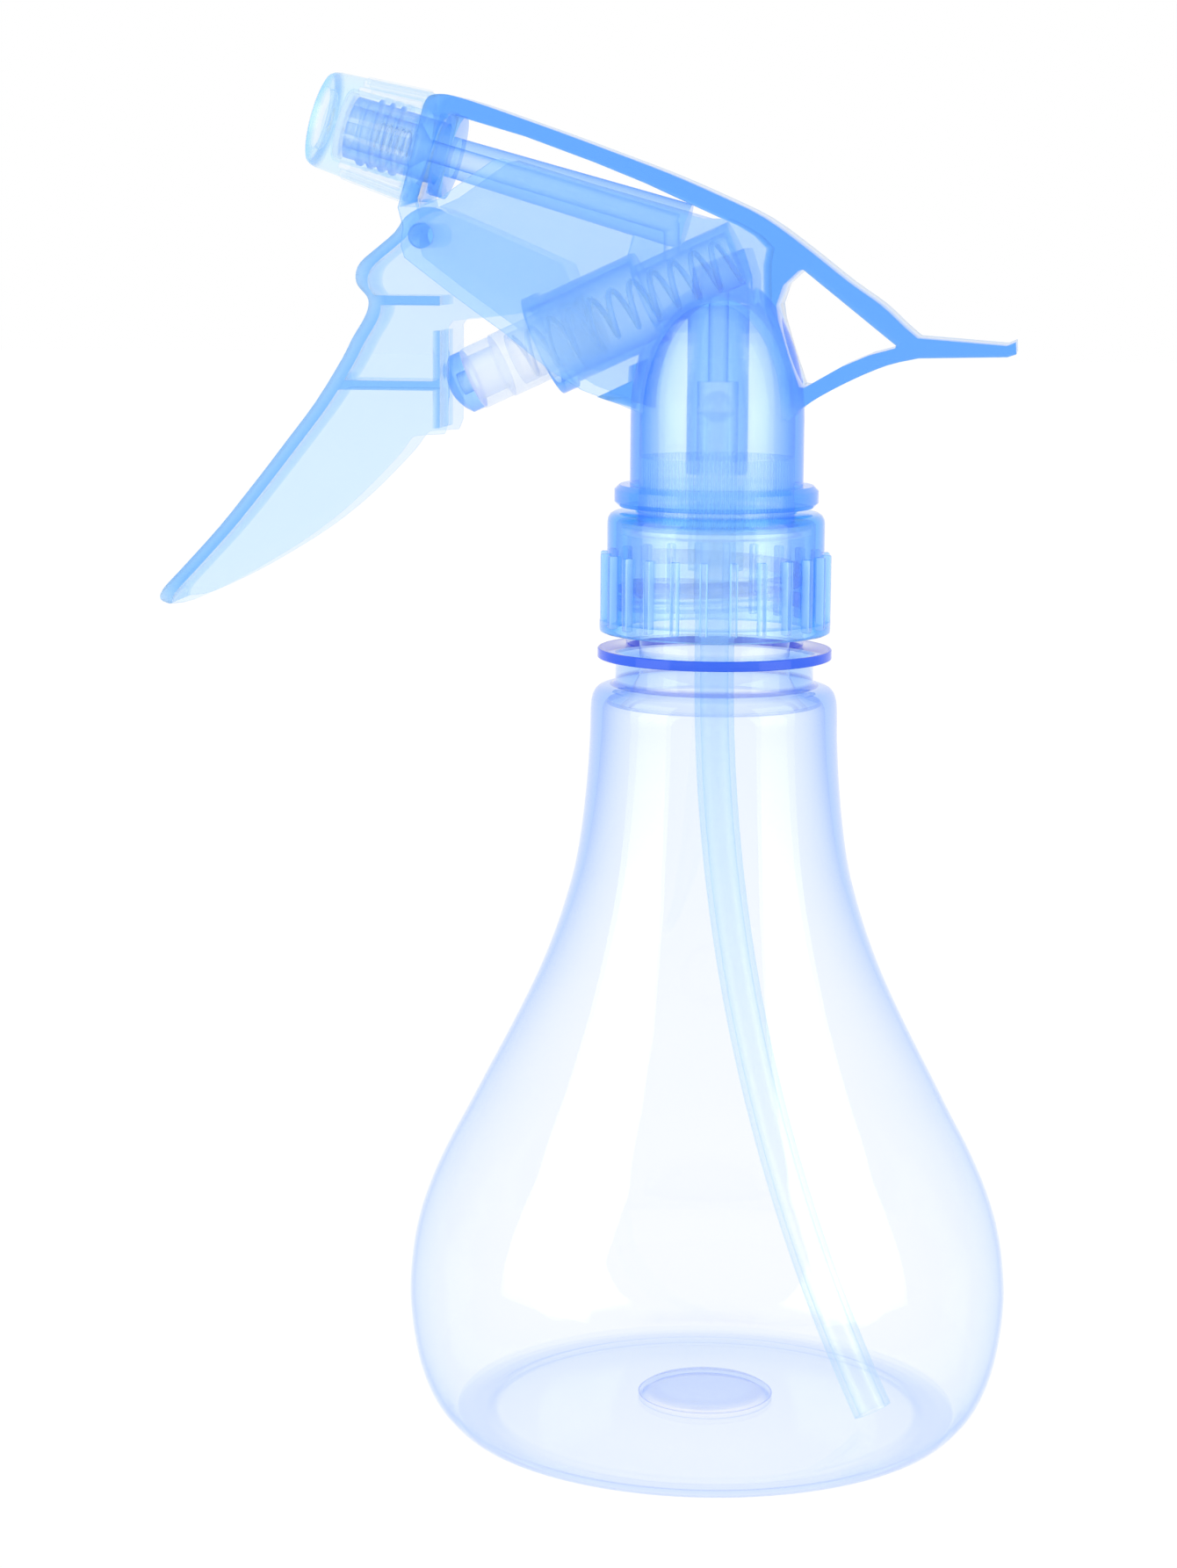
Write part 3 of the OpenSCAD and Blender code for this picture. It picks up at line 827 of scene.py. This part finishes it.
stand_in(nozzle_piece, "nozzle_cap", "nozzle", nozzle_pp)

# %% [markdown]
# ## Sharp mould edges made soft
#
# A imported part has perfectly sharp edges, which catch no light, while real moulds round them a
# little: here by a quarter of a millimetre on the cover, and by much less on the trigger, whose tip
# is thin. Each piece is copied, its coplanar triangles are joined, and a bevel rounds its true
# edges. The edges could be picked by hand, but the bevel's angle limit finds them by itself.


# %% Round the edges of the plate-like pieces
def softened(node, width, body, look):
    """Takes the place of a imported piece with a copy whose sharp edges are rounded."""
    pick(frame["nodes"][node])
    bpy.ops.object.duplicate()
    piece = bpy.context.object
    piece.name = node + "_moulding"
    piece.data = piece.data.copy()
    pick(piece)
    bpy.ops.object.mode_set(mode="EDIT")
    bpy.ops.mesh.select_all(action="SELECT")
    bpy.ops.mesh.remove_doubles(threshold=2e-6)
    bpy.ops.mesh.dissolve_limited(angle_limit=math.radians(0.6))
    bpy.ops.mesh.select_all(action="SELECT")
    bpy.ops.mesh.normals_make_consistent(inside=False)
    bpy.ops.object.mode_set(mode="OBJECT")
    edge = piece.modifiers.new("mould_edge", "BEVEL")
    edge.limit_method = "ANGLE"
    edge.angle_limit = math.radians(35)
    edge.width = width * MM
    edge.segments = 3
    edge.miter_outer = "MITER_ARC"
    bpy.ops.object.modifier_apply(modifier="mould_edge")
    bpy.ops.object.shade_smooth_by_angle(angle=math.radians(35))
    stand_in(piece, node, body, look)


softened("shroud", 0.25, "head", cheek_pp)
softened("trigger", 0.06, "trigger", trigger_pp)

# %% [markdown]
# ## The two coil springs
#
# Each spring is a coil of thin wire. A curve with a round section follows the helix and becomes a
# mesh. The long one lies along the barrel and the short one in the nose, each wound evenly.

# %% Wind the springs
STEPS_A_TURN = 32
BARREL_START = Vector((-34 * MM, 0, 150 * MM))
BARREL_WAY = Vector((math.cos(math.radians(25)), 0, math.sin(math.radians(25))))


def wind_coil(name, start, way, length, turns, radius, wire):
    """A coil of round wire along a unit direction; radius is the coil's and wire is the wire's."""
    across = Vector((0, 1, 0))
    upward = way.cross(across)
    curve = bpy.data.curves.new(name, "CURVE")
    curve.dimensions = "3D"
    curve.bevel_depth = wire
    curve.bevel_resolution = 3
    curve.use_fill_caps = True
    line = curve.splines.new("POLY")
    count = int(turns * STEPS_A_TURN)
    line.points.add(count)
    for i, point in enumerate(line.points):
        angle = 2 * math.pi * i / STEPS_A_TURN
        along = wire + (length - 2 * wire) * i / count
        place = start + way * along + (across * math.sin(angle) + upward * math.cos(angle)) * radius
        point.co = (*place, 1)
    coil = bpy.data.objects.new(name, curve)
    bpy.context.collection.objects.link(coil)
    pick(coil)
    bpy.ops.object.convert(target="MESH")
    coil = bpy.context.object
    pick(coil)
    bpy.ops.object.shade_smooth_by_angle(angle=math.radians(50))
    return coil


SPRING_START, SPRING_END = 6.05 * MM, 39.9 * MM
spring = wind_coil(
    "return_spring", BARREL_START + BARREL_WAY * SPRING_START, BARREL_WAY,
    SPRING_END - SPRING_START, turns=10.5, radius=3.1 * MM, wire=0.42 * MM,
)
stand_in(spring, "piston_spring", "head", steel)
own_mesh(spring)
LITTLE_START, LITTLE_LENGTH = 1.4 * MM, 5.02 * MM
little_spring = wind_coil(
    "outlet_valve_spring", nozzle_foot + nozzle_way * LITTLE_START, nozzle_way,
    LITTLE_LENGTH, turns=5, radius=1.7 * MM, wire=0.2 * MM,
)
stand_in(little_spring, "outlet_spring", "head", steel)
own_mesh(little_spring)

# %% [markdown]
# ## White studio
#
# See-through plastic shows best on a lit white table in front of a lit white wall, so that what
# comes through it is bright. Two tall soft boxes stand well to the sides. They show in every round
# piece as two pale upright bands with a darker band between them.

# %% Lit table, lit wall and soft boxes
BRIGHT = 1.0
DIM = 0.97
TABLE_SIZE = 8
TABLE_GAP = 0.0002
BOX_GLOW = 2.0


def seen_or_felt(tree, seen, felt):
    """One strength for the eye and a lower one for the light that falls on the pieces."""
    path = add_node(tree, "ShaderNodeLightPath")
    return add_node(
        tree,
        "ShaderNodeMapRange",
        {"To Min": felt, "To Max": seen},
        {"Value": path.outputs["Is Camera Ray"]},
    ).outputs[0]


bpy.ops.mesh.primitive_plane_add(size=TABLE_SIZE, location=(0, 0, foot - TABLE_GAP))
table_top = bpy.context.object
table_top.name = "lit_table"
# opal acrylic sheet lit from below: an even white glow with no shine
acrylic, tree = new_material("lit_white_acrylic")
where = add_node(tree, "ShaderNodeTexCoord")
tooth = add_node(
    tree, "ShaderNodeTexNoise", {"Scale": 1 / (3 * MM)}, {"Vector": where.outputs["Object"]}
)
grain = add_node(
    tree, "ShaderNodeBump", {"Strength": 0.02, "Distance": 0.0001}, {"Height": tooth.outputs["Fac"]}
)
sheet = add_node(
    tree,
    "ShaderNodeBsdfPrincipled",
    {
        "Base Color": (0.05, 0.05, 0.05, 1),
        "Roughness": 0.9,
        "Specular IOR Level": 0.0,
        "Emission Color": (1, 1, 1, 1),
    },
    {"Normal": grain.outputs[0], "Emission Strength": seen_or_felt(tree, BRIGHT * 0.97, DIM)},
)
add_node(tree, "ShaderNodeOutputMaterial", {}, {"Surface": sheet.outputs[0]})
finish(table_top, acrylic)

world = bpy.data.worlds.new("lit_white_wall")
bpy.context.scene.world = world
world.use_nodes = True
world.node_tree.nodes.clear()
glow = add_node(
    world.node_tree,
    "ShaderNodeBackground",
    {"Color": (1, 1, 1, 1)},
    {"Strength": seen_or_felt(world.node_tree, BRIGHT, DIM)},
)
add_node(world.node_tree, "ShaderNodeOutputWorld", {}, {"Surface": glow.outputs[0]})


def soft_box(name, around, height, reach, size, brightness):
    """A soft light at an angle round from the camera, aimed at the middle of the bottle."""
    turned = CAMERA_AZIMUTH + math.radians(around)
    place = Vector((reach * math.sin(turned), -reach * math.cos(turned), height))
    bpy.ops.object.light_add(type="AREA", location=place)
    lamp = bpy.context.object
    lamp.name = name
    lamp.data.shape = "RECTANGLE"
    lamp.data.size, lamp.data.size_y = size
    lamp.data.energy = brightness * math.pi * size[0] * size[1]
    lamp.rotation_euler = (Vector((0, 0, 0.1)) - place).to_track_quat("-Z", "Y").to_euler()
    # the lamp tubes stop short of both ends of the box, so it fades there
    lamp.data.use_nodes = True
    tree = lamp.data.node_tree
    tree.nodes.clear()
    spot = add_node(tree, "ShaderNodeNewGeometry")
    up = add_node(tree, "ShaderNodeSeparateXYZ", {}, {0: spot.outputs["Parametric"]}).outputs["Y"]
    low_end = add_node(
        tree, "ShaderNodeMapRange", {"From Min": 0.0, "From Max": 0.4}, {"Value": up},
        interpolation_type="SMOOTHSTEP",
    )
    high_end = add_node(
        tree, "ShaderNodeMapRange", {"From Min": 1.0, "From Max": 0.75}, {"Value": up},
        interpolation_type="SMOOTHSTEP",
    )
    faded = add_node(
        tree,
        "ShaderNodeMath",
        {},
        {0: low_end.outputs[0], 1: high_end.outputs[0]},
        operation="MULTIPLY",
    )
    glow = add_node(tree, "ShaderNodeEmission", {}, {"Strength": faded.outputs[0]})
    add_node(tree, "ShaderNodeOutputLight", {}, {"Surface": glow.outputs[0]})


soft_box("left_soft_box", -63, 0.30, 0.70, (0.55, 0.9), BOX_GLOW)
soft_box("right_soft_box", 62, 0.30, 0.70, (0.50, 0.9), BOX_GLOW)

scene = bpy.context.scene
scene.view_settings.view_transform = "Standard"
# a line of sight crosses dozens of thin walls, and light has to reach through all of them
scene.cycles.transparent_max_bounces = 48
scene.cycles.max_bounces = 16
scene.cycles.glossy_bounces = 12
